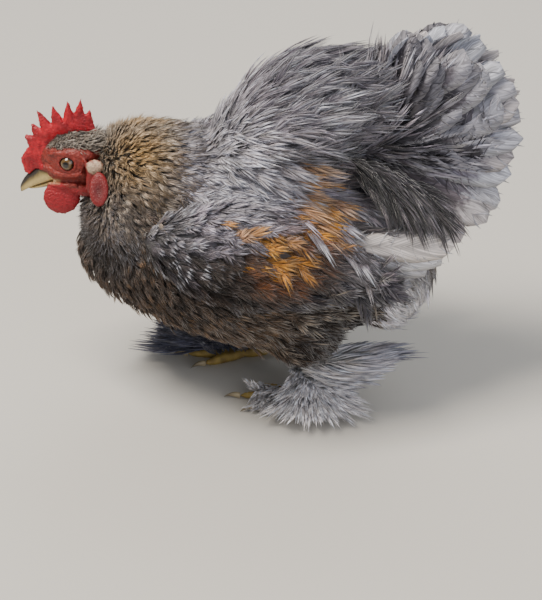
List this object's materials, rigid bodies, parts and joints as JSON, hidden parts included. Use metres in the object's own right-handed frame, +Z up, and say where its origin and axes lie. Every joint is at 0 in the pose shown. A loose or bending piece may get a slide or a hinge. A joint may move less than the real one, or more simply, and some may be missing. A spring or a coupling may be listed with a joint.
{
  "type": "chicken",
  "caption": "Still life-size feather-footed bantam cockerel standing with its head drawn in and its full round tail raised.",
  "frame": {"origin": "on the floor, under the middle of the bird's bounding box", "axes": "+X towards the beak, +Y towards the bird's left, +Z up"},
  "size_m": [0.2826, 0.1702, 0.2337],
  "materials": {
    "hackle_feathers": "soft matt feathers",
    "breast_feathers": "soft matt feathers",
    "wing_feathers": "soft matt feathers",
    "saddle_feathers": "soft matt feathers",
    "tail_feathers": "soft matt feathers",
    "fluff_feathers": "soft matt feathers",
    "red_skin": "satin bare skin",
    "earlobe_skin": "satin bare skin",
    "bill_horn": "satin horn",
    "claw_horn": "satin horn",
    "toe_scales": "satin scales",
    "eyeball": "wet gloss"
  },
  "bodies": {
    "root": {"eye_left": "eyeball", "wattle_left": "red_skin", "earlobe_left": "earlobe_skin", "wing_left": "wing_feathers", "flights_left": "wing_feathers", "thigh_left": "fluff_feathers", "shank_left": "fluff_feathers", "foot_left": "toe_scales", "foot_feathers_left": "fluff_feathers", "hock_feathers_left": "fluff_feathers", "claw_inner_left": "claw_horn", "claw_middle_left": "claw_horn", "claw_outer_left": "claw_horn", "claw_hind_left": "claw_horn", "eye_right": "eyeball", "wattle_right": "red_skin", "earlobe_right": "earlobe_skin", "wing_right": "wing_feathers", "flights_right": "wing_feathers", "thigh_right": "fluff_feathers", "shank_right": "fluff_feathers", "foot_right": "toe_scales", "foot_feathers_right": "fluff_feathers", "hock_feathers_right": "fluff_feathers", "claw_inner_right": "claw_horn", "claw_middle_right": "claw_horn", "claw_outer_right": "claw_horn", "claw_hind_right": "claw_horn", "comb": "red_skin", "bill_upper": "bill_horn", "bill_lower": "bill_horn", "head": "red_skin", "neck": "hackle_feathers", "trunk": "breast_feathers", "saddle": "saddle_feathers", "fluff": "fluff_feathers", "tail": "tail_feathers"}
  },
  "joints": []
}
